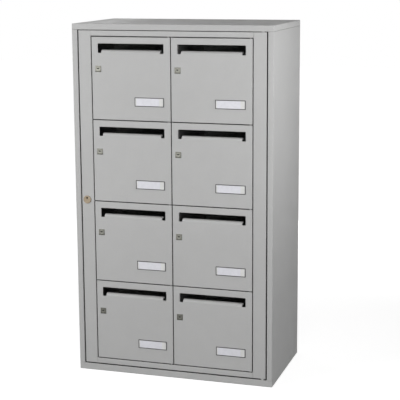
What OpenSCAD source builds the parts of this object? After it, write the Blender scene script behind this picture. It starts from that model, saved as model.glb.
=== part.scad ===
// Collective mailbox unit: a steel case with eight letter boxes in two columns.
// Each box has its own locked door with a letter slot. All the doors sit in one hinged
// service frame, which opens the whole front at once. Millimetres, +Z up, front faces -Y,
// origin in the middle of the floor contact.

/* [Letter doors] */
// Width of one letter door
door_w = 274.8; // [255:0.1:330]
// Height of one letter door
door_h = 275; // [250:0.1:340]
// Depth of the turned-in door edges
door_depth = 20; // [19:0.5:26]
// Depth of the turned-in edge beside the hinge pins
hinge_edge_depth = 12; // [8:0.5:14]
// Free gap around each letter door
door_gap = 3; // [2:0.1:4]
// Thickness of the door sheet
door_sheet = 1.5; // [1:0.1:2]
// Outer radius of the bent door edges
door_bend = 2.2; // [2.1:0.1:3]

/* [Letter slot] */
// Width of the letter slot
slot_w = 230.8; // [180:0.2:232]
// Distance from the top of the door to the slot
slot_from_top = 21.4; // [15:0.2:40]
// Height of the opening cut in the sheet
slot_cut_h = 31.5; // [28:0.5:36]
// Radius of the upper slot corners
slot_corner = 3; // [1:0.5:5]
// Width of the relief notch at each end of the flap
flap_notch_w = 12.5; // [5:0.5:14]
// Radius of the lower corners of each notch
notch_corner = 2.5; // [1:0.1:2.5]
// Outer radius of the flap bend
flap_bend = 10; // [4:0.5:10]
// Depth that the flap reaches behind the door face
flap_reach = 17.5; // [14:0.5:18]
// Height of the turned-down end of the flap
flap_lip_h = 6; // [4:0.5:10]
// Outer radius of the bend at the flap's end
flap_end_bend = 3; // [2.2:0.1:4]

/* [Name plate] */
// Width of the name plate
plate_w = 102; // [80:1:110]
// Height of the name plate
plate_h = 30; // [20:1:40]
// Distance from the top of the door to the plate
plate_from_top = 197.8; // [150:0.2:205]
// Distance from the hinge edge of the door to the plate
plate_from_hinge = 22.6; // [18:0.2:60]
// How far the plate stands proud of the door
plate_proud = 2; // [1.2:0.1:3]
// Width of the raised plate rim
plate_rim = 2.2; // [1.5:0.1:4]
// Edge radius of the plate
plate_edge = 0.8; // [0.3:0.1:1]
// Depth from the rim to the card
card_recess = 1; // [0.5:0.1:1]

/* [Letter door locks] */
// Distance from the lock side of the door to the lock
lock_from_edge = 22.4; // [21:0.2:30]
// Distance from the top of the door to the lock
lock_from_top = 105.9; // [80:0.1:150]
// Width and height of the square lock face
lock_face = 20; // [19:0.5:24]
// How far the lock face stands proud of the door
lock_proud = 2.2; // [1:0.1:3]
// Edge radius of the lock face
lock_edge = 1.2; // [0.4:0.1:1.5]
// Diameter of the lock barrel
barrel_d = 16; // [15:0.5:18]
// Diameter of the key plug
plug_d = 12.4; // [10:0.1:13]
// Depth of the plug face below the lock face
plug_recess = 0.3; // [0.1:0.1:1]
// Width of the key slot
key_slot_w = 8; // [6:0.5:8.5]
// Height of the key slot
key_slot_h = 1.8; // [1.2:0.1:2.4]
// Height of the key slot above the middle of the plug
key_slot_rise = 1.4; // [0:0.1:1.4]
// Depth of the key slot
key_slot_depth = 8; // [4:0.5:12]
// Thickness of the ring nut behind the door sheet
nut_t = 4; // [3:0.5:6]
// Thickness of the peened end that holds a cam
peen_t = 1.5; // [1:0.1:2]
// How far the peened end is wider than the stud corners
peen_overhang = 1.2; // [0.6:0.1:1.5]
// Side of the square stud that carries the cam
stud_side = 6; // [5:0.5:7]
// Thickness of a lock cam
cam_t = 2; // [1.5:0.1:2.5]
// Width of a lock cam
cam_w = 12; // [11:0.5:14]
// How much wider a cam is around its stud
cam_boss = 2; // [1:0.5:3]
// How far a thrown cam reaches behind its stop
cam_overlap = 6.3; // [4:0.1:8]

/* [Letter door hinges] */
// Diameter of the hinge pins
pin_d = 3; // [2.5:0.1:3.5]
// Distance from the door edge to the pin axis
pin_inset = 7; // [6:0.1:9]
// Distance from the door face to the pin axis
pin_setback = 4.5; // [4:0.1:5]
// Thickness of the hinge lugs in the gaps
lug_t = 1.2; // [1:0.1:1.4]
// Length of a hinge lug across the door
lug_w = 8; // [6:0.5:9]
// Depth of the lug noses behind the door face
lug_setback = 1.5; // [1:0.1:2]
// How far a pin reaches past the sheet that it carries
pin_tail = 3; // [2:0.5:5]

/* [Service frame] */
// Width of the frame stiles
stile_w = 43.65; // [42:0.05:60]
// Height of the top rail
top_rail_h = 17.95; // [14:0.05:40]
// Height of the bottom rail
bottom_rail_h = 18.65; // [14:0.05:40]
// Depth of the frame
frame_depth = 34; // [32:0.5:40]
// Thickness of the frame sheet
frame_sheet = 1.5; // [1.2:0.1:2]
// Outer radius of the bent frame edges
frame_bend = 2.2; // [2.1:0.1:3]
// Free gap between the frame and the case at its sides and below it
frame_gap = 4; // [3:0.1:5]
// Free gap between the frame and the case above it
top_gap = 1.8; // [1.5:0.1:5]
// How far the stops reach behind the door edges
stop_overlap = 8.7; // [6:0.1:9]
// Depth of the stiffening rib of a crossbar
crossbar_rib = 9; // [5:0.5:9]

/* [Service frame pivots] */
// Diameter of the pivot pins
pivot_d = 8; // [6:0.5:9]
// Distance from the frame edge to the pivot axis
pivot_inset = 12; // [12:0.5:14]
// Distance from the frame face to the pivot axis
pivot_setback = 8; // [7.5:0.5:8.5]
// Diameter of the pivot collar and head
pivot_collar_d = 12; // [11:0.5:12]
// Thickness of the pivot head inside the case
pivot_head_t = 2.5; // [1.5:0.5:4]
// How far a pivot reaches into the frame
pivot_reach = 8; // [5:1:12]

/* [Service lock] */
// Distance from the outer edge of the frame to the service lock
main_lock_from_edge = 19.2; // [19:0.1:26]
// Height of the service lock above the middle of the frame
main_lock_rise = 3.5; // [-100:0.5:100]
// Diameter of the round lock face
main_face_d = 27; // [22:0.2:28]
// How far the service lock stands proud of the frame
main_proud = 3; // [2:0.1:5]
// Diameter of the service lock barrel
main_barrel_d = 22; // [20:0.5:22]
// Diameter of the ring nut behind the frame sheet
main_nut_d = 30; // [26:1:34]
// Thickness of the service lock's ring nut
main_nut_t = 5; // [4:0.5:8]
// Diameter of the service key plug
main_plug_d = 12.4; // [10:0.2:13]
// Height of the key plug above the lock centre
main_plug_rise = 4.2; // [2:0.1:4.2]
// Width of the service key slot
main_key_w = 5; // [3:0.5:5]
// Height of the service key slot
main_key_h = 6.5; // [4:0.5:7]
// Wall left above the service key slot
main_key_wall = 1; // [0.8:0.1:2]
// Radius of the front edge of the service lock
main_edge = 1; // [0.5:0.1:1.5]
// Width of the service lock cam
main_cam_w = 16; // [14:0.5:20]
// Thickness of the service lock cam
main_cam_t = 3; // [2:0.1:3]
// Side of the square stud that carries the service cam
main_stud_side = 7; // [6:0.5:8]
// How far the thrown service cam reaches behind the strike
main_cam_overlap = 11; // [6:0.5:12]
// Thickness of the strike
strike_sheet = 1.5; // [1.2:0.1:2]
// Height of the strike
strike_h = 60; // [40:2:100]

/* [Case] */
// Depth of the case from front face to back face
case_d = 378; // [300:1:450]
// Width of the front flange of the side panels
side_flange_w = 19; // [18:0.5:40]
// Height of the front flange of the top panel
top_flange_h = 20.1; // [16:0.1:40]
// Height of the front flange of the base tray
base_flange_h = 22.5; // [16:0.5:60]
// Thickness of the case sheet
case_sheet = 1.5; // [1.2:0.1:2]
// Outer radius of the bent case edges
case_bend = 2.2; // [2.1:0.1:3]
// Depth of the turned-in edge around the case opening
jamb_depth = 28; // [26:0.5:30]
// Width of the joining flanges inside the case
join_flange = 16; // [12:1:17]
// Clear depth between the service cam and the shelves
cavity_clearance = 8; // [5:0.5:30]

/* [Shelves and divider] */
// Thickness of the shelf sheet
shelf_sheet = 1; // [0.8:0.1:1.5]
// Height of the turned-down shelf edges
shelf_edge = 14; // [8:1:25]
// Thickness of the divider sheet
divider_sheet = 1; // [0.8:0.1:1.5]
// Width of the turned divider edges
divider_edge = 12; // [8:1:20]

/* [Fixings] */
// Diameter of a wall-fixing hole
wall_hole_d = 9; // [6:0.5:12]
// Spacing of the wall-fixing holes across the case
wall_hole_span_w = 500; // [300:2:560]
// Spacing of the wall-fixing holes up the case
wall_hole_span_h = 920; // [700:10:1020]
// Diameter of the rivet shanks
rivet_d = 4; // [3:0.2:5]
// Diameter of the rivet heads
rivet_head_d = 8; // [6:0.2:9]
// Thickness of the rivet heads
rivet_head_t = 1.2; // [0.8:0.1:2]
// How much narrower the blind end of a rivet is than its head
rivet_taper = 1.5; // [0.5:0.1:1.9]
// Distance from the jamb and from the back to the nearest rivets
rivet_end_gap = 20; // [10:1:40]
// Number of rivets along each joining flange
rivet_count = 4; // [2:1:6]

/* [Clearances] */
// Radial clearance of a running fit
running_fit = 0.08; // [0.05:0.01:0.1]
// Clearance around a fixed piece in its hole
fixed_fit = 0.05; // [0.02:0.01:0.1]
// Clearance between a closed door and its stop
stop_clearance = 0.4; // [0.3:0.1:1]
// Clearance between a turning cam and the sheet in front of it
cam_clearance = 0.5; // [0.3:0.1:1]
// Running clearance above a pivot collar
collar_clearance = 0.3; // [0.2:0.1:0.5]

/* [Hidden] */
$fn = 48;
columns = 2;
rows = 4;
side_names = ["left", "right"];

// Layout across the front
field_half = (columns * (door_w + door_gap) + door_gap) / 2;
frame_half = field_half + stile_w;
case_half = frame_half + frame_gap + side_flange_w;
case_w = 2 * case_half;
opening_half = frame_half + frame_gap;

// Layout up the front
frame_z0 = base_flange_h + frame_gap;
field_z0 = frame_z0 + bottom_rail_h;
field_z1 = field_z0 + rows * (door_h + door_gap) + door_gap;
frame_z1 = field_z1 + top_rail_h;
case_top_z = frame_z1 + top_gap;
case_h = case_top_z + top_flange_h;
frame_h = frame_z1 - frame_z0;
wall_z0 = base_flange_h;
wall_h = case_top_z - base_flange_h;

// Layout in depth, with the box of the whole unit centred on Y
front_y = (main_proud - case_d) / 2;
back_y = front_y + case_d;
stop_depth = door_depth + stop_clearance;
stop_back = stop_depth + frame_sheet;
cam_depth = stop_back + cam_clearance;
main_cam_depth = frame_depth + frame_sheet + 2 * cam_clearance;
main_cam_back = main_cam_depth + main_cam_t;
cavity_depth = main_cam_back + cavity_clearance;
lining_depth = case_d - case_sheet;

// Stops and crossbars
lug_nose = pin_setback - lug_setback;
lip_w = stop_overlap + door_gap;
stop_bar_w = 2 * stop_overlap + door_gap;

// Lock positions and cams
barrel_back = cam_depth - fixed_fit;
cam_reach = lock_from_edge - stop_overlap + cam_overlap;
main_lock_x = -frame_half + main_lock_from_edge;
main_lock_z = (frame_z0 + frame_z1) / 2 + main_lock_rise;
main_axis_z = main_lock_z + main_plug_rise;
main_cam_reach = main_lock_from_edge + frame_gap + case_sheet + strike_sheet + main_cam_overlap;
strike_leg = main_cam_overlap + 2 * strike_sheet;

// Service pivots
pivot_x = frame_half - pivot_inset;

// Shelves
shelf_fit = 0.2;

// Every separately built node

// Colours
powder_grey = [0.74, 0.74, 0.73];
inner_grey = [0.62, 0.62, 0.61];
steel = [0.6, 0.6, 0.62];
chrome = [0.75, 0.75, 0.77];
brass = [0.68, 0.58, 0.42];
plate_white = [0.88, 0.88, 0.9];

// Left edge of a door column and lower edge of a door row, row 1 at the top
function door_x(c) = -field_half + door_gap + c * (door_w + door_gap);
function door_z(r) = field_z1 - r * (door_h + door_gap);
function pin_x(c) = door_x(c) + door_w - pin_inset;
// Middle of the level gap under row r, where r = 0 is the gap over the top row
function gap_z(r) = field_z1 - r * (door_h + door_gap) - door_gap / 2;
function lock_x(c) = door_x(c) + lock_from_edge;
function lock_z(r) = door_z(r) + door_h - lock_from_top;

// Flat outline with rounded corners at its front edge, which lies on y = 0
module front_rounded(w, d, r) {
    translate([r, 0]) square([w - 2 * r, d]);
    translate([0, r]) square([w, d - r]);
    translate([r, r]) circle(r);
    translate([w - r, r]) circle(r);
}

// Depth and height outline with rounded front corners, its front edge on x = 0
module side_rounded(d, h, r) {
    translate([r, 0]) square([d - r, h]);
    translate([0, r]) square([d, h - 2 * r]);
    translate([r, r]) circle(r);
    translate([r, h - r]) circle(r);
}

// Solid block with all four front edges rounded, from its front left lower corner
module front_block(w, d, h, r) {
    intersection() {
        linear_extrude(h) front_rounded(w, d, r);
        rotate([90, 0, 90]) linear_extrude(w) side_rounded(d, h, r);
        cube([w, d, h]);
    }
}

// Bent sheet pan: a face with four turned-back edges
module pan(w, d, h, t, r) {
    difference() {
        front_block(w, d, h, r);
        translate([t, t, t]) front_block(w - 2 * t, d, h - 2 * t, r - t);
    }
}

// Round bar along +Y from depth y0 to y1
module bar_y(d, y0, y1) {
    translate([0, y0, 0]) rotate([-90, 0, 0]) cylinder(d = d, h = y1 - y0);
}

// Square bar along +Y from depth y0 to y1
module square_bar_y(side, y0, y1) {
    translate([-side / 2, y0, -side / 2]) cube([side, y1 - y0, side]);
}

// Opening cut through the door sheet: slot, relief notches and flap root
module slot_cut() {
    r = notch_corner;
    low = -slot_cut_h;
    rotate([90, 0, 0]) translate([0, 0, -door_sheet - 1]) linear_extrude(door_sheet + 2) {
        difference() {
            translate([0, low + r]) square([slot_w, slot_cut_h - r]);
            for (x = [0, slot_w - slot_corner])
                translate([x, -slot_corner]) square([slot_corner, slot_corner]);
        }
        for (x = [slot_corner, slot_w - slot_corner])
            translate([x, -slot_corner]) circle(slot_corner);
        for (x = [0, slot_w - flap_notch_w]) {
            for (side = [r, flap_notch_w - r])
                translate([x + side, low + r]) circle(r);
            translate([x + r, low]) square([flap_notch_w - 2 * r, r]);
        }
        translate([flap_notch_w, low]) square([slot_w - 2 * flap_notch_w, r]);
    }
}

// Quarter ring in the first quadrant
module quarter_ring(r_out, r_in) {
    intersection() {
        difference() {
            circle(r_out);
            circle(r_in);
        }
        square([r_out, r_out]);
    }
}

// Flap bent inward from the sheet below the slot, with a turned-down end
module flap() {
    t = door_sheet;
    run_end = flap_reach - flap_end_bend;
    // Outline in depth and height, from the bend root at the origin
    rotate([90, 0, 90]) linear_extrude(slot_w - 2 * flap_notch_w) {
        translate([flap_bend, 0]) mirror([1, 0]) quarter_ring(flap_bend, flap_bend - t);
        translate([flap_bend, flap_bend - t]) square([run_end - flap_bend, t]);
        translate([run_end, flap_bend - flap_end_bend]) quarter_ring(flap_end_bend, flap_end_bend - t);
        translate([flap_reach - t, flap_bend - flap_lip_h]) square([t, flap_lip_h - flap_end_bend]);
    }
}

// Letter door with its front lower left corner at the origin
module door_panel() {
    t = door_sheet;
    chamfer = door_depth - hinge_edge_depth;
    difference() {
        pan(door_w, door_depth, door_h, t, door_bend);
        // Shallow edge beside the pins, with the level edges cut back on a slant
        translate([door_w, door_depth, -1]) linear_extrude(door_h + 2)
            polygon([[1, 1], [1, -chamfer], [0, -chamfer], [-chamfer, 0], [-chamfer, 1]]);
        translate([(door_w - slot_w) / 2, 0, door_h - slot_from_top]) slot_cut();
        translate([lock_from_edge, 0, door_h - lock_from_top])
            bar_y(barrel_d + 2 * fixed_fit, -1, t + 1);
        translate([door_w - pin_inset, pin_setback, -1])
            cylinder(d = pin_d + 2 * running_fit, h = door_h + 2);
    }
    translate([(door_w - slot_w) / 2 + flap_notch_w, 0, door_h - slot_from_top - slot_cut_h])
        flap();
}

// Name plate rim with its card bed, seated on the door face
module name_plate_shape() {
    difference() {
        translate([0, -plate_proud, 0]) front_block(plate_w, plate_proud, plate_h, plate_edge);
        translate([plate_rim, -plate_proud - 1, plate_rim])
            cube([plate_w - 2 * plate_rim, card_recess + 1, plate_h - 2 * plate_rim]);
    }
}

// Square lock body around the lock axis, and the ring nut that holds it to the door sheet
module lock_body_shape() {
    half = lock_face / 2;
    difference() {
        union() {
            translate([-half, -lock_proud, -half])
                front_block(lock_face, lock_proud, lock_face, lock_edge);
            bar_y(barrel_d, 0, barrel_back);
        }
        bar_y(plug_d + 2 * running_fit, -lock_proud - 1, barrel_back + 1);
    }
    difference() {
        bar_y(lock_face, door_sheet, door_sheet + nut_t);
        bar_y(barrel_d + 2 * fixed_fit, door_sheet - 1, door_sheet + nut_t + 1);
    }
}

// Key plug with a square stud, peened over behind the cam
module lock_plug_shape() {
    difference() {
        union() {
            bar_y(plug_d, plug_recess - lock_proud, barrel_back);
            square_bar_y(stud_side, barrel_back, cam_depth + cam_t);
            bar_y(stud_side * sqrt(2) + peen_overhang, cam_depth + cam_t, cam_depth + cam_t + peen_t);
        }
        translate([-key_slot_w / 2, plug_recess - lock_proud - 1, key_slot_rise - key_slot_h / 2])
            cube([key_slot_w, key_slot_depth + 1, key_slot_h]);
    }
}

// Cam plate that hangs down when the lock is open
module cam_shape(reach, w, t, hole) {
    difference() {
        union() {
            bar_y(w + cam_boss, 0, t);
            translate([-w / 2, 0, w / 2 - reach]) cube([w, t, reach - w / 2]);
            translate([0, 0, w / 2 - reach]) bar_y(w, 0, t);
        }
        square_bar_y(hole, -1, t + 1);
    }
}

// Places children at a door, with row 1 at the top
module at_door(c, r) {
    translate([door_x(c), front_y, door_z(r)]) children();
}

// Places children on a letter door's lock axis, at the door face
module at_lock(c, r) {
    translate([lock_x(c), front_y, lock_z(r)]) children();
}

module door(c, r) {
    color(powder_grey) at_door(c, r) door_panel();
}

module name_plate(c, r) {
    color(plate_white) at_door(c, r)
        translate([door_w - plate_from_hinge - plate_w, 0, door_h - plate_from_top - plate_h])
            name_plate_shape();
}

module lock_body(c, r) {
    color(chrome) at_lock(c, r) lock_body_shape();
}

module lock_plug(c, r) {
    color(steel) at_lock(c, r) lock_plug_shape();
}

module lock_cam(c, r) {
    color(steel) at_lock(c, r) translate([0, cam_depth, 0])
        cam_shape(cam_reach, cam_w, cam_t, stud_side + 2 * fixed_fit);
}

// Left side panel: wall, front flange with jamb, back flange, level joining flanges
module side_panel_shape() {
    t = case_sheet;
    difference() {
        linear_extrude(wall_h) difference() {
            front_rounded(side_flange_w, lining_depth, case_bend);
            translate([t, t]) front_rounded(side_flange_w - 2 * t, lining_depth - 2 * t, case_bend - t);
            translate([side_flange_w - t - 1, jamb_depth])
                square([t + 2, lining_depth - t - jamb_depth]);
        }
        // Back flange cut to the joining width
        translate([join_flange, lining_depth - t - 1, -1]) cube([side_flange_w, t + 2, wall_h + 2]);
    }
    for (z = [0, wall_h - t])
        difference() {
            translate([t, t, z]) cube([join_flange - t, lining_depth - 2 * t, t]);
            for (i = [0 : rivet_count - 1])
                translate([rivet_x(), rivet_y(i), z - 1])
                    cylinder(d = rivet_d + 2 * fixed_fit, h = t + 2);
        }
}

// Rivet places on a joining flange, from the outer face of the wall and the front
function rivet_x() = (case_sheet + join_flange + case_sheet) / 2;
function rivet_y(i) =
    jamb_depth + rivet_end_gap + i * (lining_depth - jamb_depth - 2 * rivet_end_gap) / (rivet_count - 1);

module side_panel_left() {
    color(powder_grey) translate([-case_half, front_y, wall_z0]) side_panel_shape();
}

module side_panel_right() {
    color(powder_grey) mirror([1, 0, 0]) translate([-case_half, front_y, wall_z0]) side_panel_shape();
}

module back_panel() {
    color(powder_grey) difference() {
        translate([-case_half, back_y - case_sheet, 0]) cube([case_w, case_sheet, case_h]);
        for (x = [-1, 1], z = [-1, 1])
            translate([x * wall_hole_span_w / 2, 0, case_h / 2 + z * wall_hole_span_h / 2])
                bar_y(wall_hole_d, back_y - case_sheet - 1, back_y + 1);
    }
}

// Shallow box that closes the case above or below, open towards the compartments
module end_tray_shape(h) {
    t = case_sheet;
    difference() {
        // Outer form, rounded along its front edge, its outer corners and its side edges
        intersection() {
            linear_extrude(h) front_rounded(case_w, lining_depth, case_bend);
            rotate([90, 0, 90]) linear_extrude(case_w) side_rounded(lining_depth, h, case_bend);
            translate([0, lining_depth, 0]) rotate([90, 0, 0]) linear_extrude(lining_depth)
                tray_front_outline(case_w, h);
        }
        translate([t, t, t]) cube([case_w - 2 * t, lining_depth, h - 2 * t]);
        // Wide mouth inside the joining flanges
        translate([join_flange, jamb_depth, h - t - 1])
            cube([case_w - 2 * join_flange, lining_depth, t + 2]);
        for (s = [0, 1], i = [0 : rivet_count - 1])
            translate([s == 0 ? rivet_x() : case_w - rivet_x(), rivet_y(i), h - t - 1])
                cylinder(d = rivet_d + 2 * fixed_fit, h = t + 2);
        translate([case_half + pivot_x, pivot_setback, h - t - 1])
            cylinder(d = pivot_d + 2 * fixed_fit, h = t + 2);
    }
}

// Width and height outline of a tray, rounded at all four corners
module tray_front_outline(w, h) {
    r = case_bend;
    translate([r, 0]) square([w - 2 * r, h]);
    translate([0, r]) square([w, h - 2 * r]);
    for (x = [r, w - r], z = [r, h - r])
        translate([x, z]) circle(r);
}

module base_tray() {
    color(powder_grey) translate([-case_half, front_y, 0]) end_tray_shape(base_flange_h);
}

module top_panel() {
    color(powder_grey) translate([-case_half, front_y, case_h]) mirror([0, 0, 1])
        end_tray_shape(top_flange_h);
}

// Divider between the two columns of compartments, with turned edges
module centre_divider() {
    t = divider_sheet;
    z0 = case_sheet;
    h = case_h - 2 * case_sheet;
    y0 = front_y + cavity_depth;
    d = back_y - case_sheet - y0;
    color(inner_grey) translate([-t / 2, y0, z0]) {
        cube([t, d, h]);
        cube([divider_edge, t, h]);
        for (z = [0, h - t])
            translate([0, 0, z]) cube([divider_edge, d, t]);
        translate([0, d - t, 0]) cube([divider_edge, t, h]);
    }
}

// One shelf between a side panel and the divider, with edges turned down all round
module shelf(c, r) {
    t = shelf_sheet;
    wall_x = case_half - case_sheet;
    x0 = c == 0 ? -wall_x : divider_sheet / 2;
    w = wall_x - divider_sheet / 2;
    y0 = front_y + cavity_depth + divider_sheet + shelf_fit;
    y1 = back_y - case_sheet - max(case_sheet, divider_sheet) - shelf_fit;
    translate([x0, y0, gap_z(r) + t / 2 - shelf_edge]) difference() {
        cube([w, y1 - y0, shelf_edge]);
        translate([t, t, -1]) cube([w - 2 * t, y1 - y0 - 2 * t, shelf_edge - t + 1]);
    }
}

module shelves() {
    color(inner_grey)
        for (c = [0 : columns - 1], r = [1 : rows - 1]) shelf(c, r);
}

// Blind rivet through two sheets, pointing up from its lower head
module rivet(grip) {
    translate([0, 0, -rivet_head_t]) cylinder(d = rivet_head_d, h = rivet_head_t);
    cylinder(d = rivet_d, h = grip);
    translate([0, 0, grip]) cylinder(d = rivet_head_d - rivet_taper, h = rivet_head_t);
}

module case_rivets() {
    grip = 2 * case_sheet;
    color(steel)
        for (s = [-1, 1], i = [0 : rivet_count - 1], z = [wall_z0, wall_z0 + wall_h])
            translate([s * (case_half - rivet_x()), front_y + rivet_y(i), z - case_sheet]) rivet(grip);
}

// Pivot pin that stands up from a joining flange at z = 0, with its collar under the frame
module pivot_pin(gap) {
    translate([0, 0, -case_sheet - pivot_head_t]) cylinder(d = pivot_collar_d, h = pivot_head_t);
    translate([0, 0, -case_sheet]) cylinder(d = pivot_d, h = case_sheet + gap + pivot_reach);
    cylinder(d = pivot_collar_d, h = gap - collar_clearance);
}

module service_pivots() {
    color(steel) {
        translate([pivot_x, front_y + pivot_setback, base_flange_h]) pivot_pin(frame_gap);
        translate([pivot_x, front_y + pivot_setback, case_top_z]) mirror([0, 0, 1]) pivot_pin(top_gap);
    }
}

// Angle on the left jamb, whose rear leg the service cam hooks behind
module service_strike() {
    t = strike_sheet;
    color(steel)
        translate([-opening_half - case_sheet, front_y, main_axis_z - strike_h / 2]) {
            translate([-t, jamb_depth / 2, 0]) cube([t, frame_depth + t - jamb_depth / 2, strike_h]);
            translate([-strike_leg, frame_depth, 0]) cube([strike_leg, t, strike_h]);
        }
}

// Holes that let the hinge lugs pass through the stop sheets, in the frame's own place
module lug_passages() {
    w = lug_w + 2 * fixed_fit;
    h = lug_t + 2 * fixed_fit;
    for (c = [0 : columns - 1], r = [1 : rows - 1])
        translate([pin_x(c) - w / 2, front_y + stop_depth - 1, gap_z(r) - h / 2])
            cube([w, frame_sheet + 2, h]);
}

// Left stile: closed pan with its inner edge turned out into a door stop
module stile_shape() {
    t = frame_sheet;
    difference() {
        pan(stile_w, frame_depth, frame_h, t, frame_bend);
        translate([stile_w - t - 1, stop_back, -1]) cube([t + 2, frame_depth, frame_h + 2]);
    }
    // Stop lip between the lips of the two rails
    translate([stile_w - t, stop_depth, bottom_rail_h + lip_w])
        cube([lip_w + t, t, frame_h - bottom_rail_h - top_rail_h - 2 * lip_w]);
}

module frame_stile_left() {
    color(powder_grey) difference() {
        translate([-frame_half, front_y, frame_z0]) stile_shape();
        translate([main_lock_x, front_y, main_lock_z])
            bar_y(main_barrel_d + 2 * fixed_fit, -1, frame_sheet + 1);
    }
}

module frame_stile_right() {
    color(powder_grey) difference() {
        mirror([1, 0, 0]) translate([-frame_half, front_y, frame_z0]) stile_shape();
        translate([pivot_x, front_y + pivot_setback, frame_z0 - 1])
            cylinder(d = pivot_d + 2 * running_fit, h = frame_h + 2);
        lug_passages();
    }
}

// Rail between the stiles, its top edge towards the doors
module rail_shape(h) {
    t = frame_sheet;
    w = 2 * field_half;
    difference() {
        rotate([90, 0, 90]) linear_extrude(w) {
            difference() {
                side_rounded(frame_depth, h, frame_bend);
                translate([t, t]) side_rounded(frame_depth, h - 2 * t, frame_bend - t);
                translate([stop_back, h - t - 1]) square([frame_depth, t + 2]);
            }
            translate([stop_depth, h - t]) square([t, lip_w + t]);
        }
        for (c = [0 : columns - 1])
            translate([field_half + pin_x(c), pin_setback, h - t - 1])
                cylinder(d = pin_d + 2 * fixed_fit, h = t + 2);
    }
}

module frame_rail_bottom() {
    color(powder_grey) translate([-field_half, front_y, frame_z0]) rail_shape(bottom_rail_h);
}

module frame_rail_top() {
    color(powder_grey) translate([-field_half, front_y, frame_z1]) mirror([0, 0, 1])
        rail_shape(top_rail_h);
}

// Upright stop strip behind the gap between the two door columns
module frame_mullion() {
    z0 = field_z0 + lip_w;
    color(powder_grey) difference() {
        translate([-stop_bar_w / 2, front_y + stop_depth, z0])
            cube([stop_bar_w, frame_sheet, field_z1 - lip_w - z0]);
        lug_passages();
    }
}

// Level angle behind a door gap, with a hinge lug for each column reaching forward
module crossbar(r) {
    t = frame_sheet;
    w = 2 * field_half - 2 * t;
    z = gap_z(r);
    difference() {
        union() {
            translate([-w / 2, front_y + stop_back, z - stop_bar_w / 2]) cube([w, t, stop_bar_w]);
            translate([-w / 2, front_y + stop_back, z - stop_bar_w / 2]) cube([w, crossbar_rib, t]);
            for (c = [0 : columns - 1])
                translate([pin_x(c), front_y, z - lug_t / 2]) {
                    translate([-lug_w / 2, pin_setback, 0]) cube([lug_w, stop_back - pin_setback, lug_t]);
                    translate([0, pin_setback, 0]) intersection() {
                        cylinder(d = lug_w, h = lug_t);
                        translate([-lug_w / 2, -lug_nose, 0]) cube([lug_w, lug_w, lug_t]);
                    }
                }
        }
        for (c = [0 : columns - 1])
            translate([pin_x(c), front_y + pin_setback, z - lug_t / 2 - 1])
                cylinder(d = pin_d + 2 * fixed_fit, h = lug_t + 2);
    }
}

module frame_crossbars() {
    color(inner_grey)
        for (r = [1 : rows - 1]) crossbar(r);
}

// Hinge pins of both columns: one through each lug, one through each rail
module door_pins() {
    reach = door_gap / 2 + door_sheet + pin_tail;
    rail_reach = door_gap / 2 + frame_sheet + pin_tail / 2;
    color(steel)
        for (c = [0 : columns - 1], r = [0 : rows]) {
            down = r == rows ? rail_reach : reach;
            up = r == 0 ? rail_reach : reach;
            translate([pin_x(c), front_y + pin_setback, gap_z(r) - down])
                cylinder(d = pin_d, h = down + up);
        }
}

// Round service lock body around its centre, with its ring nut behind the stile sheet
module service_lock_body() {
    back = main_cam_depth - fixed_fit;
    color(brass) translate([main_lock_x, front_y, main_lock_z]) {
        difference() {
            union() {
                translate([0, -main_proud, 0]) rotate([-90, 0, 0]) rotate_extrude() service_face_outline();
                bar_y(main_barrel_d, 0, back);
            }
            translate([0, 0, main_plug_rise])
                bar_y(main_plug_d + 2 * running_fit, -main_proud - 1, back + 1);
        }
        difference() {
            bar_y(main_nut_d, frame_sheet, frame_sheet + main_nut_t);
            bar_y(main_barrel_d + 2 * fixed_fit, frame_sheet - 1, frame_sheet + main_nut_t + 1);
        }
    }
}

// Half section of the lock face, with a rounded front edge
module service_face_outline() {
    half = main_face_d / 2;
    r = main_edge;
    square([half - r, main_proud]);
    translate([0, r]) square([half, main_proud - r]);
    translate([half - r, r]) circle(r);
}

module service_lock_plug() {
    front = plug_recess - main_proud;
    back = main_cam_depth - fixed_fit;
    cam_back = main_cam_depth + main_cam_t;
    color(brass) translate([main_lock_x, front_y, main_axis_z]) difference() {
        union() {
            bar_y(main_plug_d, front, back);
            square_bar_y(main_stud_side, back, cam_back);
            bar_y(main_stud_side * sqrt(2) + peen_overhang, cam_back, cam_back + peen_t);
        }
        translate([-main_key_w / 2, front - 1, main_plug_d / 2 - main_key_wall - main_key_h])
            cube([main_key_w, key_slot_depth + 1, main_key_h]);
    }
}

module service_lock_cam() {
    color(steel) translate([main_lock_x, front_y + main_cam_depth, main_axis_z])
        cam_shape(main_cam_reach, main_cam_w, main_cam_t, main_stud_side + 2 * fixed_fit);
}

side_panel_left();
side_panel_right();
back_panel();
top_panel();
base_tray();
centre_divider();
shelves();
case_rivets();
service_pivots();
service_strike();
frame_stile_left();
frame_stile_right();
frame_rail_top();
frame_rail_bottom();
frame_mullion();
frame_crossbars();
door_pins();
service_lock_body();
service_lock_plug();
service_lock_cam();
for (c = [0 : columns - 1], r = [1 : rows]) {
    place = str(side_names[c], "_", r);
    door(c, r);
    name_plate(c, r);
    lock_body(c, r);
    lock_plug(c, r);
    lock_cam(c, r);
}
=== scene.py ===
"""Looks of a steel mailbox unit: its paint, plated metal, name cards, eased edges, studio and camera.

Lengths are in metres and colours are linear. Places are in the frame's own axes: +X to the right
as seen from the front, -Y out of the front with the doors, +Z up from the floor.
"""

import logging
import math
from dataclasses import dataclass
from enum import Enum

import bmesh
import bpy
from mathutils import Matrix, Vector

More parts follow.
